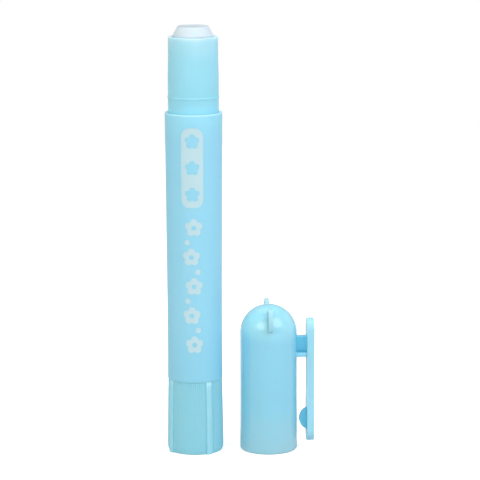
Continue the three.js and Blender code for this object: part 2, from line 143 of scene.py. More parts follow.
def plate(
    outline: Array, core: Array, thickness: float, edge: float, rows: int = 10, steps: int = 5
) -> Array:
    """A flat plate with round edges, whose rows run from the middle of one face over the rim to the other.

    On a face a point goes straight from the core to the outline, drawn in by the edge's radius. Over the rim
    it goes round: outwards by edge x cos t and across by edge x sin t.

    Args:
        outline: The plate's outline, points in its plane, counterclockwise.
        core: The point that the faces shrink to, or one for each point of the outline.
        thickness: Across the plate.
        edge: Radius of the rim's edges.
        rows: Rows on a face.
        steps: Segments round one edge.

    Returns:
        A grid of points in the plate's plane and across it.
    """
    along = np.roll(outline, -1, axis=0) - np.roll(outline, 1, axis=0)
    normal = np.stack([along[:, 1], -along[:, 0]], axis=-1)
    normal /= np.linalg.norm(normal, axis=1, keepdims=True)
    inset = outline - edge * normal
    share = np.linspace(0, 1, rows, endpoint=False)[:, None, None]
    turn = np.linspace(QUARTER_TURN, 0, steps + 1)[:, None, None]
    flat = np.concatenate([core + (inset - core) * share, inset + edge * np.cos(turn) * normal])
    lift = np.concatenate([0 * share + thickness / 2, thickness / 2 - edge + edge * np.sin(turn)])
    top = np.concatenate([flat, np.broadcast_to(lift, (*flat.shape[:2], 1))], axis=-1)
    return np.concatenate([top, (top * [1, 1, -1])[::-1]])


def fillet(distance: Array, radius: float) -> Array:
    """How far a fillet stands out at a distance from the wall's foot: r - sqrt(r^2 - (r - d)^2)."""
    inside = np.clip(radius - distance, 0, radius)
    return radius - np.sqrt(radius**2 - inside**2)


def put(name: str, data: ID) -> Object:
    """Puts a mesh, a lamp or a camera into the scene.

    Args:
        name: The object's name.
        data: What it shows.

    Returns:
        The object, at the origin.
    """
    thing = bpy.data.objects.new(name, data)
    bpy.context.scene.collection.objects.link(thing)
    return thing


def surface(name: str, grid: Array, closes: bool = False, sharp: float = 35) -> Object:
    """Makes a closed mesh of a grid of points whose columns go right round.

    Rows that shrink to a point or a line are merged. The faces are turned outwards where the volume, a sixth
    of the sum of the faces' corner products, comes out negative.

    Args:
        name: The piece's name.
        grid: Rows of points in millimetres.
        closes: Whether the last row joins the first.
        sharp: The least angle in degrees between faces that shows as an edge.

    Returns:
        The object, at the origin.
    """
    rows, columns = grid.shape[:2]
    row = np.arange(rows if closes else rows - 1)[:, None]
    column = np.arange(columns)[None, :]
    beside, above = (column + 1) % columns, (row + 1) % rows
    low, high = row * columns, above * columns
    faces = np.stack([low + column, low + beside, high + beside, high + column], axis=-1).reshape(-1, 4)
    points = grid.reshape(-1, 3) * MM
    first, second, third, fourth = np.moveaxis(points[faces], 1, 0)
    volume = (first * (np.cross(second, third) + np.cross(third, fourth))).sum()
    if volume < 0:
        faces = faces[:, ::-1]
    mesh = bpy.data.meshes.new(name)
    mesh.from_pydata(points, [], faces)
    shape = bmesh.new()
    shape.from_mesh(mesh)
    bmesh.ops.remove_doubles(shape, verts=shape.verts, dist=MM * WELD)
    bmesh.ops.dissolve_degenerate(shape, edges=shape.edges, dist=MM * SLIVER)
    shape.to_mesh(mesh)
    shape.free()
    mesh.shade_smooth()
    mesh.set_sharp_from_angle(angle=math.radians(sharp))
    return put(name, mesh)


def mark_painted_highlight(piece: Object, share: Callable[[Array], Array]) -> None:
    """Gives each vertex its share of a painted highlight's colour.

    Args:
        piece: The piece.
        share: Works the shares out from rows of X, Y and Z in millimetres.
    """
    mesh = piece.data
    place = np.empty(len(mesh.vertices) * 3, dtype=np.float32)
    mesh.vertices.foreach_get("co", place)
    value = share(place.reshape(-1, 3).T / MM).astype(np.float32)
    mesh.attributes.new(PAINTED_HIGHLIGHT, "FLOAT", "POINT").data.foreach_set("value", value)


def settle(piece: Object, body: str, slot: str, material: Material, *nodes: str) -> None:
    """Gives a piece its finish and its place in the model.

    Args:
        piece: The new piece.
        body: The body that it rides on.
        slot: The record's material slot; not used.
        material: Its finish.
        *nodes: The solids that it stands for.
    """
    piece.data.materials.append(material)
    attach(piece, body)
    if nodes:
        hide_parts(*nodes)
    LOG.info("%s rides on %s, %d faces", piece.name, body, len(piece.data.polygons))


# Finishes


class Socket(Enum):
    """The kinds of socket that a node group has."""

    COLOUR = "NodeSocketColor"
    VALUE = "NodeSocketFloat"
    VECTOR = "NodeSocketVector"


@dataclass
class Bench:
    """A node tree that is being wired up."""

    tree: NodeTree

    def add(self, kind: str, **settings: object) -> Node:
        """Adds a node.

        Args:
            kind: Its type.
            **settings: Its own settings.

        Returns:
            The node.
        """
        node = self.tree.nodes.new(kind)
        for key, value in settings.items():
            setattr(node, key, value)
        return node

    def feed(self, node: Node, sources: dict[str | int, object]) -> Node:
        """Links a node's inputs to their sources, or sets their values where these are numbers or colours.

        Args:
            node: The node.
            sources: A source for each input, by its name or its number.

        Returns:
            The same node.
        """
        for key, source in sources.items():
            socket = node.inputs[key]
            if isinstance(source, NodeSocket):
                self.tree.links.new(source, socket)
            elif isinstance(source, tuple) and len(socket.default_value) == 4:
                socket.default_value = (*source, 1.0)
            else:
                socket.default_value = source
        return node

    def maths(self, operation: str, first: object, second: object, clamp: bool = False) -> NodeSocket:
        """A sum of two values, by the named operation."""
        node = self.add("ShaderNodeMath", operation=operation, use_clamp=clamp)
        return self.feed(node, {0: first, 1: second}).outputs[0]

    def ramp(self, value: object, low: object, high: object) -> NodeSocket:
        """Maps low to high onto 0 to 1, smoothly and held at both ends."""
        node = self.add("ShaderNodeMapRange", interpolation_type="SMOOTHSTEP")
        return self.feed(node, {0: value, 1: low, 2: high}).outputs[0]

    def blend(self, share: object, first: object, second: object) -> NodeSocket:
        """A mix of two colours."""
        node = self.add("ShaderNodeMix", data_type="RGBA")
        return self.feed(node, {0: share, 6: first, 7: second}).outputs[2]

    def attribute(self, name: str) -> NodeSocket:
        """A mesh's own value of that name."""
        return self.add("ShaderNodeAttribute", attribute_name=name).outputs["Fac"]

    def noise(self, place: NodeSocket, per_metre: float, detail: float = 2.0) -> NodeSocket:
        """A noise of a scale per metre, from 0 to 1."""
        node = self.add("ShaderNodeTexNoise")
        return self.feed(node, {"Vector": place, "Scale": per_metre, "Detail": detail}).outputs["Fac"]

    def place(self) -> NodeSocket:
        """The object coordinates."""
        return self.add("ShaderNodeTexCoord").outputs["Object"]

    def parts_of(self, vector: NodeSocket) -> Sockets:
        """The X, Y and Z of a vector."""
        return self.feed(self.add("ShaderNodeSeparateXYZ"), {0: vector}).outputs


def new_material(name: str) -> tuple[Material, Bench, Node]:
    """Makes a material.

    Args:
        name: Its name.

    Returns:
        The material, its bench and its shader.
    """
    material = bpy.data.materials.new(name)
    material.use_nodes = True
    return material, Bench(material.node_tree), material.node_tree.nodes["Principled BSDF"]


@dataclass
class Groups:
    """The node groups that several finishes share, with their patterns' scales per metre."""

    cloud_scale: float = 140.0
    cloud_span: tuple[float, float] = (0.3, 0.7)
    dust_scale: float = 260.0
    dust_edge: tuple[float, float] = (0.03, 0.016)
    dust_choice: tuple[float, float] = (0.90, 0.905)
    dust_colour: Colour = (0.12, 0.2, 0.24)
    smudge_scale: float = 420.0
    peel_scale: float = 2200.0
    peel_height: float = 0.01
    made: dict[str, NodeTree] = field(default_factory=dict)

    def start(self, name: str, **sockets: dict[Socket, tuple[str, ...]]) -> tuple[Bench, Sockets, Node]:
        """Makes an empty group.

        Args:
            name: The group's name.
            **sockets: The names of its input and of its output sockets, by their kinds.

        Returns:
            The group's bench, what its inputs give inside, and the node that takes its outputs.
        """
        tree = self.made[name] = bpy.data.node_groups.new(name, "ShaderNodeTree")
        for way, names in sockets.items():
            for kind, labels in names.items():
                for label in labels:
                    tree.interface.new_socket(label, in_out=way.upper(), socket_type=kind.value)
        bench = Bench(tree)
        return bench, bench.add("NodeGroupInput").outputs, bench.add("NodeGroupOutput")

    def moulded(self) -> None:
        """Moulded plastic: cloudy colour, sparse specks of dust, smudged gloss and a fine orange peel."""
        bench, given, out = self.start(
            "moulded_plastic",
            input={Socket.COLOUR: ("Colour", "Cloud Colour"),
                   Socket.VALUE: ("Cloud", "Speck", "Roughness", "Smudge", "Peel")},
            output={Socket.COLOUR: ("Colour",), Socket.VALUE: ("Roughness",), Socket.VECTOR: ("Normal",)},
        )
        place = bench.place()
        cloud = bench.ramp(bench.noise(place, self.cloud_scale), *self.cloud_span)
        cloud = bench.maths("MULTIPLY", cloud, given["Cloud"])
        colour = bench.blend(cloud, given["Colour"], given["Cloud Colour"])
        cells = bench.feed(bench.add("ShaderNodeTexVoronoi"), {"Vector": place, "Scale": self.dust_scale})
        near = bench.ramp(cells.outputs["Distance"], *self.dust_edge)
        chosen = bench.ramp(bench.parts_of(cells.outputs["Color"])[0], *self.dust_choice)
        speck = bench.maths("MULTIPLY", bench.maths("MULTIPLY", near, chosen), given["Speck"])
        smudge = bench.maths("SUBTRACT", bench.noise(place, self.smudge_scale, detail=4.0), 0.5)
        smudge = bench.maths("MULTIPLY", smudge, given["Smudge"])
        peel = bench.feed(bench.add("ShaderNodeBump"), {
            "Strength": given["Peel"], "Distance": self.peel_height * MM,
            "Height": bench.noise(place, self.peel_scale, detail=3.0),
        })
        bench.feed(out, {
            "Colour": bench.blend(speck, colour, self.dust_colour), "Normal": peel.outputs["Normal"],
            "Roughness": bench.maths("ADD", given["Roughness"], smudge, clamp=True),
        })

    def band(self) -> None:
        """A soft band of another colour along Z, full at one height and gone at the other; it paints light
        and shade by height.
        """
        bench, given, out = self.start(
            "painted_light_by_height",
            input={Socket.COLOUR: ("Colour", "Band Colour"), Socket.VALUE: ("Amount", "Full At", "Gone At")},
            output={Socket.COLOUR: ("Colour",)},
        )
        share = bench.ramp(bench.parts_of(bench.place())[2], given["Gone At"], given["Full At"])
        share = bench.maths("MULTIPLY", share, given["Amount"])
        bench.feed(out, {"Colour": bench.blend(share, given["Colour"], given["Band Colour"])})

    def fit(self, bench: Bench, name: str, sources: dict[str, object]) -> Sockets:
        """Puts a group into a material, with a source or a value for each input, and returns its outputs."""
        return bench.feed(bench.add("ShaderNodeGroup", node_tree=self.made[name]), sources).outputs


@dataclass(frozen=True)
class Band:
    """A band of another colour along Z, in millimetres, which paints light and shade by height."""

    colour: Colour
    amount: float
    full_at: float
    gone_at: float


@dataclass(frozen=True)
class Plastic:
    """A moulded plastic's finish."""

    name: str
    colour: Colour
    cloud_colour: Colour
    roughness: float
    cloud: float = 0.35
    speck: float = 0.6
    smudge: float = 0.12
    peel: float = 0.25
    depth: float = 0.0
    specular: float = 0.5
    reach: float = 1.6
    reach_by_colour: Colour = (0.4, 0.7, 0.8)
    painted_light_bands: tuple[Band, ...] = ()
    # A paler colour blended in by the mesh's crest attribute: a painted highlight.
    painted_highlight_colour: Colour | None = None

    def make(self, groups: Groups) -> Material:
        """Makes the material.

        Args:
            groups: The shared node groups.

        Returns:
            The material.
        """
        material, bench, shader = new_material(self.name)
        colour: object = self.colour
        for band in self.painted_light_bands:
            colour = groups.fit(bench, "painted_light_by_height", {
                "Colour": colour, "Band Colour": band.colour, "Amount": band.amount,
                "Full At": band.full_at * MM, "Gone At": band.gone_at * MM,
            })["Colour"]
        # Blends in the painted highlight.
        if self.painted_highlight_colour:
            colour = bench.blend(bench.attribute(PAINTED_HIGHLIGHT), colour, self.painted_highlight_colour)
        skin = groups.fit(bench, "moulded_plastic", {
            "Colour": colour, "Cloud Colour": self.cloud_colour, "Cloud": self.cloud, "Speck": self.speck,
            "Roughness": self.roughness, "Smudge": self.smudge, "Peel": self.peel,
        })
        bench.feed(shader, {
            "Base Color": skin["Colour"], "Roughness": skin["Roughness"], "Normal": skin["Normal"],
            "Specular IOR Level": self.specular, "Subsurface Weight": self.depth,
            "Subsurface Radius": self.reach_by_colour, "Subsurface Scale": self.reach * MM,
        })
        return material


@dataclass(frozen=True)
class Finishes:
    """The finishes of all the pieces."""

    # The bands paint light and shade: paler towards the top, darker on the lower barrel, and a painted
    # highlight along the shoulder's edge.
    barrel: Plastic = Plastic(
        "barrel_blue", (0.325, 0.70, 0.89), (0.31, 0.685, 0.875), 0.55, depth=0.25, specular=0.3,
        painted_light_bands=(Band((0.35, 0.78, 0.98), 0.8, 96.0, 88.0), Band((0.285, 0.65, 0.83), 0.9, 21.0, 42.0),
               Band((0.55, 0.86, 0.96), 0.9, 96.1, 95.5)),
    )
    # The bands paint light: a brighter cyan band at the neck's foot, and the neck growing paler up to the
    # rim.
    neck: Plastic = Plastic(
        "neck_blue", (0.325, 0.722, 0.875), (0.31, 0.712, 0.865), 0.52, depth=0.4, specular=0.3,
        painted_light_bands=(Band((0.372, 0.76, 0.905), 1.0, 113.0, 98.0), Band((0.34, 0.785, 0.985), 0.9, 96.6, 99.5),
               Band((0.48, 0.81, 0.955), 1.0, 116.2, 110.3), Band((0.63, 0.87, 0.98), 1.0, 117.1, 115.7)),
    )
    # The band paints a pale rim of light along the foot, and the crest colour paints highlights on the ribs,
    # strongest at their top ends.
    knob: Plastic = Plastic(
        "knob_blue", (0.295, 0.66, 0.775), (0.28, 0.645, 0.765), 0.55, depth=0.3, specular=0.3,
        painted_light_bands=(Band((0.45, 0.80, 0.88), 0.8, 0.0, 0.9),), painted_highlight_colour=(0.50, 0.84, 0.95),
    )
    # The bands paint light and shade: darker on the lower body, paler and greyer towards the mouth as painted
    # floor light, and a brighter dome that eases a little at the crown.
    cap: Plastic = Plastic(
        "cap_blue", (0.295, 0.685, 0.87), (0.285, 0.675, 0.86), 0.03, smudge=0.008, peel=0.0, depth=0.7,
        reach=1.4, specular=0.65,
        painted_light_bands=(Band((0.285, 0.665, 0.825), 0.8, 14.0, 30.0), Band((0.39, 0.66, 0.74), 0.8, 0.0, 15.0),
               Band((0.41, 0.81, 1.0), 1.0, 36.5, 31.0), Band((0.35, 0.76, 0.98), 0.8, 41.5, 37.5)),
    )
    # A paler copy of the cap's plastic, as painted light on the ears, with a painted highlight on their rims.
    ear: Plastic = Plastic(
        "cap_blue_lit_ear", (0.345, 0.73, 0.87), (0.36, 0.72, 0.85), 0.22, cloud=0.15, smudge=0.05, peel=0.1,
        depth=1.0, reach=1.2, painted_highlight_colour=(0.43, 0.71, 0.79),
    )
    # A paler copy of the cap's plastic, as painted light on the clip: its bands paint shade towards the
    # clip's foot and a highlight on its rounded top.
    pale: Plastic = Plastic(
        "cap_blue_lit_clip", (0.37, 0.73, 0.865), (0.36, 0.72, 0.855), 0.22, smudge=0.05, peel=0.1, depth=0.6,
        reach=1.2,
        painted_light_bands=(Band((0.29, 0.60, 0.70), 0.8, 2.0, 5.0), Band((0.46, 0.80, 0.92), 0.5, 36.0, 32.5)),
    )
    # A darker, bluer copy of the cap's plastic, as painted shade on the recessed web and bump; its band
    # paints a highlight along the web's top edge.
    deep: Plastic = Plastic(
        "cap_blue_shaded", (0.185, 0.715, 0.955), (0.175, 0.705, 0.945), 0.2, smudge=0.05, peel=0.1, depth=0.4,
        reach=1.2, painted_light_bands=(Band((0.36, 0.70, 0.86), 0.8, 32.55, 32.0),),
    )
    inner: Plastic = Plastic(
        "inner_white", (0.86, 0.88, 0.88), (0.82, 0.85, 0.86), 0.45, cloud=0.5, depth=0.1,
    )
    # The band paints shade on the glue's top face.
    glue: Plastic = Plastic(
        "glue_white", (0.68, 0.78, 0.84), (0.64, 0.75, 0.82), 0.55, cloud=0.6, speck=0.15, smudge=0.25,
        peel=0.9, depth=0.4, specular=0.3, painted_light_bands=(Band((0.47, 0.53, 0.57), 0.9, 119.98, 119.75),),
    )
    ink: Plastic = Plastic(
        "pale_ink", (0.53, 0.74, 0.81), (0.51, 0.72, 0.79), 0.4, cloud=0.5, speck=0.3, peel=0.4,
        specular=0.35,
    )


# Pieces


@dataclass
class Barrel:
    """The long outer tube."""

    foot: float = 20.86
    shoulder: float = 96.10
    foot_radius: float = 7.69
    waist_radius: float = 7.63
    top_radius: float = 8.0
    lip_flare: float = 0.05
    lip_length: float = 2.6
    flare_length: float = 8.0
    waist_length: float = 12.0
    bore: float = 6.79
    seat_bore: float = 7.13
    seat_depth: float = 6.0
    rounding: float = 0.14
    seat_round: float = 0.08
    bore_round: float = 0.1
    columns: int = 160
    rows: int = 120
    smoothing: float = 1.6

    def radius(self, height: Array) -> Array:
        """The outside's radius at a height: straight between the stations, and averaged over a short length.

        Args:
            height: Heights above the base.

        Returns:
            The radii.
        """
        flared = self.foot + self.flare_length
        at = [self.foot, flared, flared + self.waist_length, self.shoulder - self.lip_length, self.shoulder]
        radii = [self.foot_radius, self.waist_radius, self.waist_radius, self.top_radius - self.lip_flare,
                 self.top_radius]
        offsets = np.linspace(-self.smoothing, self.smoothing, 9)
        return np.interp(np.asarray(height)[..., None] + offsets, at, radii).mean(axis=-1)

    def outline(self) -> Array:
        """The wall's closed outline, up the outside and down the inside.

        Returns:
            Points of radius and height.
        """
        height = np.linspace(self.foot + self.rounding, self.shoulder - self.rounding, self.rows)
        side = np.stack([self.radius(height), height], axis=-1)
        arc = directions(np.linspace(0, QUARTER_TURN, 7))
        top = side[-1] - [self.rounding, 0] + self.rounding * arc
        low = self.rounding / 2
        foot = np.array([side[0, 0] - low, self.foot + low]) + low * arc[:, ::-1] * [1, -1]
        seat = self.shoulder - self.seat_depth
        inside = rounded([
            (top[-1, 0], self.shoulder, 0), (self.seat_bore, self.shoulder, self.seat_round),
            (self.seat_bore, seat, 0), (self.bore, seat - (self.seat_bore - self.bore), 0),
            (self.bore, self.foot, self.bore_round), (foot[0, 0], self.foot, 0),
        ])
        return np.concatenate([foot[:-1], side, top[1:], inside[1:-1]])

    def build(self, finish: Material) -> None:
        """Makes and places the barrel."""
        piece = surface("barrel_tube", revolve(self.outline(), self.columns), closes=True)
        settle(piece, "holder", "barrel_plastic", finish, "barrel")


@dataclass
class Neck:
    """The inner sleeve, which stands out above the shoulder as the neck. Angles run from -Y, in degrees."""

    foot: float = 27.46
    seat: float = 90.10
    bead: float = 100.40
    bead_width: float = 1.05
    bead_proud: float = 0.13
    rim: float = 117.04
    draft_foot: float = 106.50
    draft_top: float = 110.50
    sleeve_radius: float = 6.69
    base_radius: float = 7.03
    top_radius: float = 6.92
    rounding: float = 0.12
    least_rounding: float = 0.2
    bore: float = 5.65
    keyways: int = 4
    keyway_width: float = 1.7
    keyway_depth: float = 0.55
    keyway_first: float = 23.0
    keyway_near: float = 0.004

    def angles(self) -> Array:
        """Even steps round the sleeve, with more just beside each keyway's walls.

        Returns:
            The angles, in order.
        """
        even = np.linspace(0, FULL_TURN, 120, endpoint=False)
        middles = math.radians(self.keyway_first - 90) + np.arange(self.keyways) * FULL_TURN / self.keyways
        half = self.keyway_width / 2
        inner, outer = math.asin(half / (self.bore + self.keyway_depth)), math.asin(half / self.bore)
        near = self.keyway_near
        beside = np.array([inner - near, inner, (inner + outer) / 2, outer, outer + near])
        beside = (middles[:, None] + np.concatenate([-beside, beside])).ravel()
        return np.unique(np.round(np.concatenate([even, beside]) % FULL_TURN, 6))

    def bore_radius(self, angle: Array) -> Array:
        """The bore's radius: d / cos a on a keyway's flat floor, w / sin a on its walls, and round elsewhere.

        Args:
            angle: Where it is asked for.

        Returns:
            The radii.
        """
        across = from_nearest(angle, math.radians(self.keyway_first - 90), self.keyways)
        floor = (self.bore + self.keyway_depth) / np.cos(across)
        wall = self.keyway_width / 2 / np.maximum(np.sin(across), 1e-6)
        return np.clip(np.minimum(floor, wall), self.bore, None)

    def side(self) -> tuple[Array, Array]:
        """The outside up to the rim: straight between the stations, and a bead as the square of a cosine.

        Returns:
            The radii and the heights.
        """
        low = self.seat - (self.base_radius - self.sleeve_radius)
        heights = np.concatenate([
            [self.foot, low], np.linspace(self.seat, self.bead - self.bead_width, 6),
            np.linspace(self.bead - self.bead_width / 2, self.bead + self.bead_width / 2, 17),
            np.linspace(self.bead + self.bead_width, self.rim - self.rounding, 24),
        ])
        at = [self.foot, low, self.seat, self.draft_foot, self.draft_top]
        radii = [self.sleeve_radius, self.sleeve_radius, self.base_radius, self.base_radius, self.top_radius]
        wave = np.clip((heights - self.bead) / self.bead_width, -0.5, 0.5)
        bead = self.bead_proud * np.cos(math.pi * wave) ** 2
        return np.interp(heights, at, radii) + bead, heights

    def build(self, finish: Material) -> None:
        """Makes and places the neck: the outside and rim are revolved, and the bore follows its own radius.

        Args:
            finish: Its finish.
        """
        radii, heights = self.side()
        arc = directions(np.linspace(0, QUARTER_TURN, 7))[1:]
        top = [self.top_radius - self.rounding, self.rim - self.rounding] + self.rounding * arc
        outside = np.concatenate([np.stack([radii, heights], axis=-1), top])
        angle = self.angles()
        bore = self.bore_radius(angle)
        share = np.clip(1 - (bore - self.bore) / self.keyway_depth, self.least_rounding, 1)
        rounding = self.rounding * share
        lip = np.linspace(QUARTER_TURN, math.pi, 5)[1:, None]
        grid = stack_rows(
            angle, (outside[:, :1], outside[:, 1:]), (bore + rounding, self.rim),
            (bore + rounding + rounding * np.cos(lip), self.rim - rounding + rounding * np.sin(lip)),
            (bore, np.linspace(self.rim - 2 * self.rounding, self.foot, 12)[:, None]),
        )
        settle(surface("neck_tube", grid, closes=True), "holder", "neck_plastic", finish, "neck_sleeve")


@dataclass
class Glue:
    """The white core, with its coned tip. A wave is a height, a count and a phase."""

    foot: float = 46.36
    cup_top: float = 50.46
    top: float = 119.99
    foot_radius: float = 4.55
    radius: float = 5.60
    tip_radius: float = 4.26
    tip_height: float = 2.5
    foot_round: float = 0.1
    cup_round: float = 0.2
    cone_round: float = 0.5
    tip_round: float = 0.18
    hollow: tuple[tuple[float, float], ...] = ((3.0, 0.02), (1.5, 0.03), (0.0, 0.03))
    bore: float = 2.4
    bore_top: float = 113.99
    waves: tuple[tuple[float, int, float], ...] = ((0.035, 3, 0.6), (0.025, 7, 1.9))

    def build(self, finish: Material) -> None:
        """Makes and places the glue, a revolved outline whose cone is slightly wavy, as if worn by hand.

        From its foot up, the cone's radius gets more of the waves' sum, height x sin(count x a + phase).

        Args:
            finish: Its finish.
        """
        cone_foot = self.top - self.tip_height
        outline = rounded([
            (0, self.bore_top, 0), (self.bore, self.bore_top - self.bore, 0),
            (self.bore, self.foot, self.foot_round), (self.foot_radius, self.foot, self.foot_round),
            (self.foot_radius, self.cup_top, 0), (self.radius, self.cup_top, self.cup_round),
            (self.radius, cone_foot, self.cone_round), (self.tip_radius, self.top, self.tip_round),
            *((radius, self.top - depth, 0) for radius, depth in self.hollow),
        ], steps=8)
        grid = revolve(outline, columns=128)
        angle = np.arctan2(grid[..., 1], grid[..., 0])
        share = np.clip((grid[..., 2] - cone_foot) / self.tip_height, 0, 1)
        wave = sum(size * np.sin(count * angle + phase) for size, count, phase in self.waves)
        grid[..., :2] *= (1 + share * wave / self.radius)[..., None]
        settle(surface("glue_core", grid), "lift", "glue", finish, "glue")


@dataclass
class Knob:
    """The turning knob, with its ribs, its fine flutes and the spigot that turns in the barrel."""

    height: float = 20.82
    top_radius: float = 7.56
    base_radius: float = 7.84
    relief: float = 0.38
    relief_height: float = 1.1
    top_edge: float = 0.04
    top_edge_drop: float = 0.03
    top_inset: float = 0.15
    ribs: int = 4
    rib_height: float = 0.34
    rib_foot: float = 2.0
    rib_crest: float = 1.5
    rib_relief_share: float = 0.2
    rib_end_height: float = 0.1
    rib_end_length: float = 0.9
    rib_end_gap: float = 0.05
    rib_first: float = 31.0
    # Where the ribs' painted highlight lies, and how it fades from the top end down.
    crest_inset: float = 0.2
    highlight_fade: tuple[float, float] = (1.6, 0.7)
    highlight_least: float = 0.35
    groove_depth: float = 0.14
    groove_half: float = 0.3
    flute_pitch: float = 0.56
    flute_depth: float = 0.12
    spigot_radius: float = 6.49
    spigot_top: float = 26.16
    spigot_round: float = 0.4
    root_round: float = 0.1
    mouth: float = 5.29
    mouth_round: float = 0.2
    floor: float = 1.6
    floor_radius: float = 5.0
    floor_round: float = 0.4
    boss_radius: float = 3.6
    boss_top: float = 25.06
    boss_round: float = 0.3
    socket_half: float = 1.85
    socket_wall: float = 0.8
    socket_foot: float = 14.96
    samples: int = 8

    def section(self) -> tuple[Array, Array, Array]:
        """The knob's angles, and how far a rib stands out and a flute cuts in at each.

        A rib rises from its foot to its crest along a smooth step, 3t^2 - 2t^3. Between ribs the flutes
        follow the square of a sine, and a groove at each rib's foot follows the square of a cosine.

        Returns:
            The angles, the ribs' share of their height, and how deep the panels are cut.
        """
        step = FULL_TURN / self.ribs
        foot, crest = self.rib_foot / 2 / self.base_radius, self.rib_crest / 2 / self.base_radius
        groove = self.groove_half / self.base_radius
        panel = step - 2 * foot
        flutes = round(panel * self.base_radius / self.flute_pitch)
        on_panel = np.linspace(0, 1, flutes * self.samples + 1)[1:-1]
        across = np.concatenate([np.linspace(-foot, -crest, 8), np.linspace(-crest, crest, 5)[1:-1],
                                 np.linspace(crest, foot, 8), foot + panel * on_panel])
        t = np.clip((foot - np.abs(across)) / (foot - crest), 0, 1)
        rib = t * t * (3 - 2 * t)
        flute = np.where(across > foot, np.sin(math.pi * flutes * (across - foot) / panel) ** 2, 0)
        nearest = np.abs(across - np.array([[foot], [step - foot], [-foot]])).min(axis=0)
        cut = np.cos(np.clip(nearest / groove, 0, 1) * math.pi / 2) ** 2
        depth = np.maximum(self.flute_depth * flute, self.groove_depth * cut)
        first = math.radians(self.rib_first - 90)
        angles = (first + np.arange(self.ribs)[:, None] * step + across).ravel()
        return angles, np.tile(rib, self.ribs), np.tile(depth, self.ribs)

    def build(self, finish: Material) -> None:
        """Makes and places the knob.

        The panels' radius flares towards the base as 1 - (h / height)^2 of the whole flare. At the foot they
        are drawn in by the relief x (1 - h / relief height)^1.5, and the ribs by a small share of that. The
        ribs fall away over a short length below the top edge.

        Args:
            finish: Its finish.
        """
        angle, rib, depth = self.section()
        rib_end = self.height - self.rib_end_length
        # Rows lie close together at the relief, wide apart up the panels and close again at the ribs' ends.
        side = np.concatenate([
            self.relief_height * np.linspace(0, 1, 9) ** 1.5, np.linspace(1.6, rib_end - 0.25, 14),
            np.linspace(rib_end - 0.1, self.height - 3 * self.top_edge, 7), [self.height - self.top_edge],
        ])
        panel = self.top_radius + (self.base_radius - self.top_radius) * (1 - (side / self.height) ** 2)
        panel[-1] -= self.top_edge_drop
        relief = self.relief * np.clip(1 - side / self.relief_height, 0, 1) ** 1.5
        t = np.clip((self.height - self.rib_end_gap - side) / self.rib_end_length, 0, 1)
        rise = self.rib_end_height + (self.rib_height - self.rib_end_height) * np.sin(t * math.pi / 2)
        outer = panel[:, None] + rise[:, None] * rib - depth
        outer = outer - relief[:, None] * (1 - (1 - self.rib_relief_share) * rib)
        top = rounded([
            (self.top_radius - self.top_inset, self.height, 0),
            (self.spigot_radius, self.height, self.root_round),
            (self.spigot_radius, self.spigot_top, self.spigot_round),
            (self.mouth, self.spigot_top, self.mouth_round), (self.mouth, self.height, 0),
            (self.floor_radius, self.floor, self.floor_round),
            (self.boss_radius, self.floor, self.floor_round),
            (self.boss_radius, self.boss_top, self.boss_round),
            (self.socket_half + self.socket_wall, self.boss_top, 0),
        ])
        square = self.socket_half / np.maximum(np.abs(np.cos(angle)), np.abs(np.sin(angle)))
        grid = stack_rows(
            angle, (0, 0), (outer, side[:, None]), (top[:, :1], top[:, 1:]), (square, self.boss_top),
            (square, self.socket_foot), (0, self.socket_foot),
        )
        piece = surface("knob_body", grid, sharp=50)
        mark_painted_highlight(piece, self.painted_highlight_share)
        settle(piece, "knob", "knob_plastic", finish, "twist_knob")

    def painted_highlight_share(self, place: Array) -> Array:
        """How much painted highlight a place has: it fades down a rib's sides, and is full at its top end.

        Args:
            place: Rows of X, Y and Z.

        Returns:
            The shares.
        """
        x, y, z = place
        first = math.radians(self.rib_first - 90)
        across = from_nearest(np.arctan2(y, x), first, self.ribs) * self.base_radius
        share = np.clip((self.rib_foot / 2 - across) / (self.rib_foot - self.rib_crest) * 2, 0, 1)
        share *= np.hypot(x, y) > self.top_radius - self.crest_inset
        low, high = (self.height - below for below in self.highlight_fade)
        return share * np.interp(z, [low, high], [self.highlight_least, 1.0])


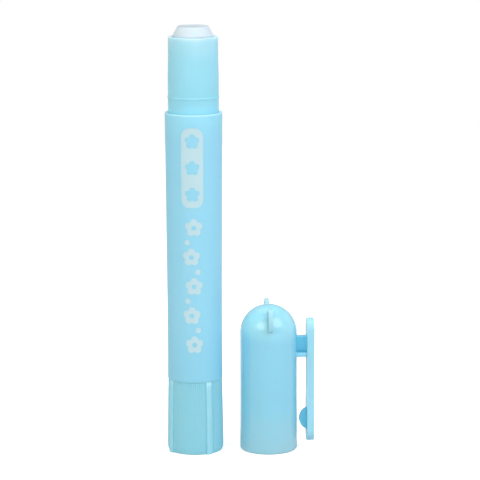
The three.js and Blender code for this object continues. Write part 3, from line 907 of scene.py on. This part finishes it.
@dataclass
class Cap:
    """The clip cap: a domed shell, two ears, a bracket, a clip and its bump, in a frame at its mouth."""

    beside: float = 20.7
    behind: float = 0.39
    turn: float = 3.4
    mouth_radius: float = 8.04
    mouth_round: float = 0.6
    mouth_land: float = 0.3
    dome_radius: float = 7.98
    straight: float = 33.6
    skirt: float = 1.0
    draft_foot: float = 0.4
    wall: float = 0.86
    bore: float = 7.15
    snap_lip: float = 0.07
    groove_depth: float = 0.12
    groove_middle: float = 4.3
    groove_width: float = 1.6
    groove_round: float = 0.1
    bore_round: float = 0.2
    entry: float = 0.8
    entry_round: float = 0.12
    ear_radius: float = 3.34
    ear_thickness: float = 1.2
    ear_reach: float = 8.6
    ear_angle: float = 34.5
    ear_round: float = 0.07
    ear_fillet: float = 0.12
    ear_sunk: float = 0.2
    # The painted highlight on the ears' rims.
    ear_rim: float = 0.3
    ear_rim_fade: float = 0.22
    clip_length: float = 35.43
    clip_width: float = 7.0
    clip_waist: float = 5.6
    clip_thickness: float = 2.0
    clip_foot: float = 2.12
    clip_inner: float = 10.72
    clip_round: float = 0.10
    shelf_height: float = 26.78
    shelf_thickness: float = 1.2
    shelf_width: float = 5.2
    shelf_edge: float = 0.25
    web_inset: float = 0.4
    web_height: float = 5.77
    web_thickness: float = 1.6
    web_edge: float = 0.2
    bracket_fillet: float = 0.35
    bracket_sunk: float = 0.05
    bump_radius: float = 3.38
    bump_height: float = 8.56
    bump_depth: float = 2.08
    bump_middle: float = 0.3
    bump_back: float = 0.7
    bump_round: float = 0.25

    def stand(self, grid: Array) -> Array:
        """Turns a grid about the cap's axis and sets it beside the stick.

        Args:
            grid: Points in the cap's frame.

        Returns:
            The points in the stick's frame.
        """
        turn = math.radians(self.turn)
        cos, sin = math.cos(turn), math.sin(turn)
        return grid @ np.array([[cos, sin, 0], [-sin, cos, 0], [0, 0, 1]]) + [self.beside, self.behind, 0]

    def shell(self) -> Array:
        """The shell: up the drafted outside and over the dome to its pole, then down the inside to the mouth.

        Returns:
            The grid in the cap's frame.
        """
        arc = directions(np.linspace(0, QUARTER_TURN, 40))
        mouth = rounded([
            (self.bore + self.mouth_land, 0, 0), (self.mouth_radius, 0, self.mouth_round),
            (self.mouth_radius, self.straight / 4, 0),
        ], steps=8)[:-1]
        height = np.linspace(self.skirt, self.straight, 40, endpoint=False)
        side = np.interp(height, [self.draft_foot, self.straight], [self.mouth_radius, self.dome_radius])
        dome = self.dome_radius * arc + [0, self.straight]
        hollow = (self.dome_radius - self.wall) * arc[::-1] + [0, self.straight]
        low, high = self.groove_middle - self.groove_width / 2, self.groove_middle + self.groove_width / 2
        steps = (self.groove_depth, -self.snap_lip, self.snap_lip)
        groove, snap, entry = (self.bore + step for step in steps)
        edge = self.groove_round
        bore = rounded([
            (self.dome_radius - self.wall, self.straight, 0), (self.bore, high, self.bore_round),
            (groove, high - self.groove_depth, edge), (groove, low + self.groove_depth, edge),
            (snap, low, edge), (snap, (self.entry + low) / 2, edge), (entry, self.entry, edge),
            (entry, 0, self.entry_round), (self.bore + self.mouth_land, 0, 0),
        ])
        outline = [mouth, np.stack([side, height], axis=-1), dome, hollow, bore[1:-1]]
        return revolve(np.concatenate(outline), columns=160)

    def ear(self, side: int) -> Array:
        """One ear: a round tab that is cut off inside the dome's wall, with a fillet where it leaves it.

        From its centre the outline reaches the ear's radius, or the middle of the wall where that is nearer:
        on a ray with slope m towards the dome's centre, at m - sqrt(m^2 - (c^2 - w^2)).

        Args:
            side: 1 for the far ear, -1 for the near one.

        Returns:
            The grid in the cap's frame.
        """
        lean = math.radians(self.ear_angle)
        centre = np.array([side * self.ear_reach * math.cos(lean), self.ear_reach * math.sin(lean)])
        ray = rays(96)
        middle_wall = self.dome_radius - self.wall / 2
        slope = -ray @ centre
        under = slope**2 - (self.ear_reach**2 - middle_wall**2)
        to_wall = np.where((under > 0) & (slope > 0), slope - np.sqrt(np.maximum(under, 0)), np.inf)
        foot = np.linalg.norm(centre + self.ear_radius * ray, axis=1) - self.dome_radius
        reach = self.ear_radius + fillet(foot, self.ear_fillet) * (foot > -self.ear_sunk)
        outline = centre + ray * np.minimum(reach, to_wall)[:, None]
        grid = plate(outline, centre, self.ear_thickness, self.ear_round, rows=26)
        above = np.sqrt((grid**2).sum(axis=-1)) - self.dome_radius
        grid[..., 2] *= 1 + fillet(above, self.ear_fillet) / (self.ear_thickness / 2)
        return grid[..., [2, 0, 1]] + [0, 0, self.straight]

    def rim_highlight_share(self, place: Array) -> Array:
        """How much painted highlight a place on an ear has: full on the rim, and gone a little inside it.

        Args:
            place: Rows of X, Y and Z.

        Returns:
            The shares.
        """
        x, y, z = place
        turn, lean = math.radians(self.turn), math.radians(self.ear_angle)
        along = (y - self.behind) * math.cos(turn) - (x - self.beside) * math.sin(turn)
        across = np.abs(along) - self.ear_reach * math.cos(lean)
        reach = np.hypot(across, z - self.straight - self.ear_reach * math.sin(lean))
        return np.clip((reach - self.ear_radius + self.ear_rim) / self.ear_rim_fade, 0, 1)

    def clip(self) -> Array:
        """The clip's bar: round ends, and sides drawn in by the square of a sine between them.

        Returns:
            The grid in the cap's frame.
        """
        radius = self.clip_width / 2
        low, high = self.clip_foot + radius, self.clip_foot + self.clip_length - radius
        arc = radius * directions(np.linspace(0, math.pi, 33))
        share = np.linspace(0, 1, 41)[1:-1]
        half = radius - (self.clip_width - self.clip_waist) / 2 * np.sin(math.pi * share) ** 2
        side = np.stack([half, low + (high - low) * share], axis=-1)
        outline = np.concatenate([[0, high] + arc, side[::-1] * [-1, 1], [0, low] - arc, side])
        core = np.stack([0 * outline[:, 0], np.clip(outline[:, 1], low, high)], axis=-1)
        grid = plate(outline, core, self.clip_thickness, self.clip_round, rows=4, steps=6)
        return grid[..., [2, 0, 1]] + [self.clip_inner + self.clip_thickness / 2, 0, 0]

    def arm(self, width: float, low: float, high: float, edge: float) -> Array:
        """A bar of the bracket, from inside the cap's wall to inside the clip.

        Its section is a rectangle with round edges. Near each end the section grows outwards by the fillet.

        Args:
            width: Along Y.
            low: Its underside's height.
            high: Its top's height.
            edge: Radius of its long edges.

        Returns:
            The grid in the cap's frame.
        """
        quarters = np.arange(4)[:, None] * math.pi / 2
        outward = directions(np.linspace(0, QUARTER_TURN, 5) + quarters)
        corners = np.array([(1, 1), (-1, 1), (-1, -1), (1, -1)]) * [width / 2 - edge, (high - low) / 2 - edge]
        section = (corners[:, None] + edge * outward).reshape(-1, 2)
        start = np.sqrt((self.dome_radius - self.wall / 2) ** 2 - section[:, 0] ** 2)
        end = self.clip_inner + self.clip_thickness / 4
        share = (1 - np.cos(np.linspace(0, math.pi, 36)))[:, None] / 2
        x = start + (end - start) * share
        from_cap = np.hypot(x, section[:, 0]) - self.dome_radius - self.bracket_sunk
        swell = fillet(from_cap, self.bracket_fillet) + fillet(self.clip_inner - x, self.bracket_fillet)
        grid = np.concatenate([x[..., None], section + swell[..., None] * outward.reshape(-1, 2)], axis=-1)
        first, last = grid[:1] * [1, 0, 0], grid[-1:] * [1, 0, 0]
        first[..., 0], last[..., 0] = start.mean(), end
        return np.concatenate([first, grid, last]) + [0, 0, (low + high) / 2]

    def bump(self) -> Array:
        """The half-round bump: its outline follows a circle outside the clip and stops inside the clip's bar.

        From the bump's middle, at o from the circle's, a ray with slope m along o reaches the circle at
        -m + sqrt(m^2 - o^2 + r^2), and the flat back at its distance / cos a.

        Returns:
            The grid in the cap's frame.
        """
        centre = np.array([self.clip_inner + self.bump_middle, self.bump_height])
        offset = centre - [self.clip_inner - self.bump_depth + self.bump_radius, self.bump_height]
        ray = rays(96)
        slope = ray @ offset
        to_circle = -slope + np.sqrt(slope**2 - offset @ offset + self.bump_radius**2)
        to_back = np.where(ray[:, 0] > 1e-3, self.bump_back / np.maximum(ray[:, 0], 1e-3), np.inf)
        outline = centre + ray * np.minimum(to_circle, to_back)[:, None]
        grid = plate(outline, centre, self.web_thickness, self.bump_round, rows=14)
        grid[..., 2] *= 1 + fillet(self.clip_inner - grid[..., 0], self.bump_round) / (self.web_thickness / 2)
        return grid[..., [0, 2, 1]]

    def build(self, materials: dict[str, Material]) -> None:
        """Makes and places the cap's pieces.

        Args:
            materials: The finishes of the shell and shelf, the ears and the clip (paler copies of the shell's
                plastic, as painted light), and the web and bump (a darker copy, as painted shade).
        """
        finish, ear, pale, deep = (materials[name] for name in ("shell", "ear", "clip", "deep"))
        low = self.shelf_height
        web = self.arm(self.web_thickness, low + self.web_inset, low + self.web_height, self.web_edge)
        shelf = self.arm(self.shelf_width, low, low + self.shelf_thickness, self.shelf_edge)
        shell = surface("cap_shell", self.stand(self.shell()), closes=True)
        settle(shell, "cap", "cap_plastic", finish, "cap")
        rest = {
            "cap_ear_near": (self.ear(-1), ear), "cap_ear_far": (self.ear(1), ear),
            "cap_clip": (self.clip(), pale), "cap_bracket_web": (web, deep),
            "cap_bracket_shelf": (shelf, finish), "cap_bump": (self.bump(), deep),
        }
        for name, (grid, material) in rest.items():
            piece = surface(name, self.stand(grid))
            # The ears' rims get a painted highlight.
            if material is ear:
                mark_painted_highlight(piece, self.rim_highlight_share)
            settle(piece, "cap", "cap_plastic", material)


class Motif(Enum):
    """The shapes of the print, each by its number of petals and how deep the notches between them are."""

    DOT = (0, 0.0)
    BLOSSOM = (5, 0.34)

    def outline(self, radius: float, angle: Array) -> Array:
        """The shape's outline, r (1 - depth (1 - |cos(petals x a / 2)|^0.7)).

        Args:
            radius: Of the petals' tips.
            angle: Where the points lie.

        Returns:
            The points, round the shape's middle.
        """
        petals, depth = self.value
        notch = 1 - np.abs(np.cos(petals * (angle - math.pi / 2) / 2)) ** 0.7
        return (radius * (1 - depth * notch))[:, None] * directions(angle)


@dataclass
class Print:
    """A plain pattern in pale ink on the barrel: a panel with open blossoms, and blossoms and dots below it.

    The blossoms stand to either side of the middle in turn, each dot on the other side from its blossom.
    """

    barrel: Barrel
    ink_thickness: float = 0.03
    sunk: float = 0.01
    line: float = -2.5
    panel_top: float = 92.6
    panel_half: float = 3.1
    panel_round: float = 2.4
    cells: int = 3
    pitch: float = 7.4
    open_radius: float = 2.1
    blossoms: int = 5
    blossom_radius: float = 2.5
    blossom_gap: float = 0.75
    blossom_step: float = 1.12
    blossom_side: float = 0.35
    eye_radius: float = 0.7
    dot_radius: float = 0.75
    dot_side: float = 4.2
    points: int = 160

    def wrap(self, grid: Array) -> Array:
        """Lays a flat grid on the barrel: the way round is arc length, and the thickness stands off it.

        Args:
            grid: Points across, up and out.

        Returns:
            The points on the barrel.
        """
        radius = self.barrel.radius(grid[..., 1])
        turn = math.radians(self.line - 90) + grid[..., 0] / radius
        return round_axis(radius + grid[..., 2] + self.ink_thickness / 2 - self.sunk, turn, grid[..., 1])

    def lay(self, name: str, outline: Array, hole: Array | None, middle: Array, ink: Material) -> None:
        """Makes one patch of ink and places it.

        Args:
            name: The patch's name.
            outline: Its outline round its middle.
            hole: The outline of its hole, or None.
            middle: Its place on the flat print.
            ink: Its finish.
        """
        core = middle if hole is None else hole + middle
        grid = plate(outline + middle, core, self.ink_thickness, self.ink_thickness / 3, steps=1)
        settle(surface(name, self.wrap(grid), closes=hole is not None), "holder", "barrel_plastic", ink)

    def cell(self, ray: Array, above: bool, below: bool) -> Array:
        """One cell of the panel: a rectangle, reached along rays from its middle, with round corners or not.

        Past a round corner's start a ray ends on the corner's circle, at m + sqrt(m^2 - (c^2 - r^2)) for a
        slope m of the ray towards the circle's centre.

        Args:
            ray: The rays' directions.
            above: Whether the upper corners are round.
            below: Whether the lower ones are.

        Returns:
            The outline.
        """
        half = np.array([self.panel_half, self.pitch / 2])
        reach = np.min(half / np.maximum(np.abs(ray), 1e-9), axis=1)
        corner = half - self.panel_round
        slope = np.abs(ray) @ corner
        on_circle = slope + np.sqrt(np.maximum(slope**2 - (corner @ corner - self.panel_round**2), 0))
        point = np.abs(ray) * reach[:, None]
        is_round = np.all(point > corner, axis=1) & np.where(ray[:, 1] > 0, above, below)
        return ray * np.where(is_round, on_circle, reach)[:, None]

    def build(self, ink: Material) -> None:
        """Prints the panel's cells, and the column of blossoms and dots.

        Args:
            ink: Its finish.
        """
        angle = np.linspace(0, FULL_TURN, self.points, endpoint=False)
        opening = Motif.BLOSSOM.outline(self.open_radius, angle)
        for i in range(self.cells):
            middle = np.array([0, self.panel_top - self.pitch * (i + 0.5)])
            outline = self.cell(directions(angle), i == 0, i == self.cells - 1)
            self.lay(f"print_panel_{i + 1}", outline, opening, middle, ink)
        blossom = Motif.BLOSSOM.outline(self.blossom_radius, angle)
        eye = Motif.DOT.outline(self.eye_radius, angle)
        dot = Motif.DOT.outline(self.dot_radius, angle)
        start = self.panel_top - self.pitch * (self.cells + self.blossom_gap)
        for i in range(self.blossoms):
            side = self.blossom_side * (-1) ** i
            height = start - i * self.pitch * self.blossom_step
            self.lay(f"print_blossom_{i + 1}", blossom, eye, np.array([side, height]), ink)
            if i + 1 < self.blossoms:
                place = np.array([-self.dot_side * side, height - self.pitch * self.blossom_step / 2])
                self.lay(f"print_dot_{i + 1}", dot, None, place, ink)


# Studio


@dataclass(frozen=True)
class Softbox:
    """A square lamp that faces the object, by its azimuth from the front towards +X and its elevation."""

    name: str
    azimuth: float
    elevation: float
    distance: float
    side: float
    radiance: float
    colour: Colour

    def hang(self, aim: tuple[float, float, float]) -> None:
        """Hangs the lamp, turned to face the aim.

        Args:
            aim: What it faces, in metres.
        """
        data = bpy.data.lights.new(self.name, "AREA")
        data.shape, data.size = "SQUARE", self.side
        data.energy = self.radiance * math.pi * self.side**2
        data.color = self.colour
        azimuth, elevation = math.radians(self.azimuth), math.radians(self.elevation)
        level = math.cos(elevation)
        back = np.array([math.sin(azimuth) * level, -math.cos(azimuth) * level, math.sin(elevation)])
        across = np.cross([0, 0, 1], back)
        across /= np.linalg.norm(across)
        rotation = Matrix(np.stack([across, np.cross(back, across), back], axis=-1)).to_4x4()
        place = Matrix.Translation(np.array(aim) + back * self.distance)
        put(self.name, data).matrix_world = place @ rotation


@dataclass
class Studio:
    """The camera, the white floor and surroundings, and the lamps, in metres and degrees."""

    focal_pixels: float = 2460.82
    frame_pixels: int = 480
    sensor: float = 36.0
    camera_place: tuple[float, float, float] = (0.0127645, -0.67626, 0.18470)
    camera_range: tuple[float, float] = (0.05, 20.0)
    pitch: float = 10.445
    roll: float = -0.193
    aim: tuple[float, float, float] = (0.008, 0.0, 0.06)
    sky_fill: float = 0.41
    sky_mirrored: float = 0.5
    sky_seen: float = 1.0
    floor_colour: Colour = (0.82, 0.82, 0.82)
    floor_roughness: float = 0.9
    floor_half: float = 0.6
    floor_drop: float = 0.00002
    floor_glow_mirrored: float = 0.0
    floor_glow_seen: float = 0.6
    lamps: tuple[Softbox, ...] = (
        Softbox("softbox_right", 49.0, 44.5, 0.9, 0.60, 3.2, (0.955, 0.99, 1.06)),
        Softbox("softbox_left", -35.0, 34.0, 0.9, 0.52, 3.0, (1.0, 0.955, 0.86)),
        Softbox("softbox_top", 0.0, 95.0, 0.9, 1.2, 0.8, WHITE),
    )

    def set_camera(self) -> None:
        """Places the camera as it stood for the photograph: level, pitched down and slightly rolled."""
        data = bpy.data.cameras.new("camera")
        data.sensor_width = self.sensor
        data.lens = self.sensor * self.focal_pixels / self.frame_pixels
        data.clip_start, data.clip_end = self.camera_range
        camera = put("camera", data)
        level = Matrix.Rotation(math.radians(90 - self.pitch), 4, "X")
        roll = Matrix.Rotation(math.radians(self.roll), 4, "Z")
        camera.matrix_world = Matrix.Translation(self.camera_place) @ level @ roll
        bpy.context.scene.camera = camera

    def by_ray(self, bench: Bench, light: float, mirrored: float, seen: float) -> NodeSocket:
        """One strength for light on the object, one for its gloss and glass, and one for the eye.

        Args:
            bench: Where the nodes go.
            light: Strength for the light that falls on the object.
            mirrored: Strength in gloss and through glass.
            seen: Strength to the camera.

        Returns:
            The strength for the ray at hand.
        """
        path = bench.add("ShaderNodeLightPath").outputs
        gloss = bench.maths("ADD", path["Is Glossy Ray"], path["Is Transmission Ray"], clamp=True)
        gloss = bench.maths("MULTIPLY", gloss, mirrored - light)
        eye = bench.maths("MULTIPLY", path["Is Camera Ray"], seen - light)
        return bench.maths("ADD", bench.maths("ADD", gloss, eye), light)

    def set_surroundings(self) -> None:
        """Makes the surroundings white to the eye and a plain soft fill on the object."""
        world = bpy.context.scene.world = bpy.data.worlds.new("studio")
        world.use_nodes = True
        bench = Bench(world.node_tree)
        strength = self.by_ray(bench, self.sky_fill, self.sky_mirrored, self.sky_seen)
        bench.feed(world.node_tree.nodes["Background"], {"Color": WHITE, "Strength": strength})

    def set_floor(self) -> None:
        """Lays a pale floor that keeps the object's shadow and reads as white."""
        corner = np.array([[-1, -1, 0], [1, -1, 0], [1, 1, 0], [-1, 1, 0]]) * self.floor_half
        mesh = bpy.data.meshes.new("floor")
        mesh.from_pydata(corner - [0, 0, self.floor_drop], [], [(0, 1, 2, 3)])
        material, bench, shader = new_material("floor_white")
        bench.feed(shader, {
            "Base Color": self.floor_colour, "Roughness": self.floor_roughness, "Specular IOR Level": 0.0,
            "Emission Color": WHITE,
            "Emission Strength": self.by_ray(bench, 0.0, self.floor_glow_mirrored, self.floor_glow_seen),
        })
        mesh.materials.append(material)
        put("floor", mesh)

    def set_up(self) -> None:
        """Sets the view, the camera, the surroundings and the lamps."""
        bpy.context.scene.view_settings.view_transform = "Standard"
        self.set_camera()
        self.set_surroundings()
        self.set_floor()
        for lamp in self.lamps:
            lamp.hang(self.aim)


def dress_inner(finish: Material) -> None:
    """Gives the hidden pieces, whose solids are kept, their finish.

    Args:
        finish: The finish.
    """
    for name in ("glue_carrier", "feed_screw", "screw_bush"):
        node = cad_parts[name]
        node.data.materials.clear()
        node.data.materials.append(finish)
        LOG.info("%s keeps its solid", name)


def main() -> None:
    """Builds the studio and every piece, in order."""
    logging.basicConfig(level=logging.INFO, format="%(name)s: %(message)s")
    Studio().set_up()
    groups = Groups()
    groups.moulded()
    groups.band()
    finishes = Finishes()
    barrel = Barrel()
    barrel.build(finishes.barrel.make(groups))
    Neck().build(finishes.neck.make(groups))
    Glue().build(finishes.glue.make(groups))
    Knob().build(finishes.knob.make(groups))
    cap_finishes = {"shell": finishes.cap, "ear": finishes.ear, "clip": finishes.pale, "deep": finishes.deep}
    Cap().build({name: plastic.make(groups) for name, plastic in cap_finishes.items()})
    Print(barrel).build(finishes.ink.make(groups))
    dress_inner(finishes.inner.make(groups))


if __name__ == "__main__":
    main()
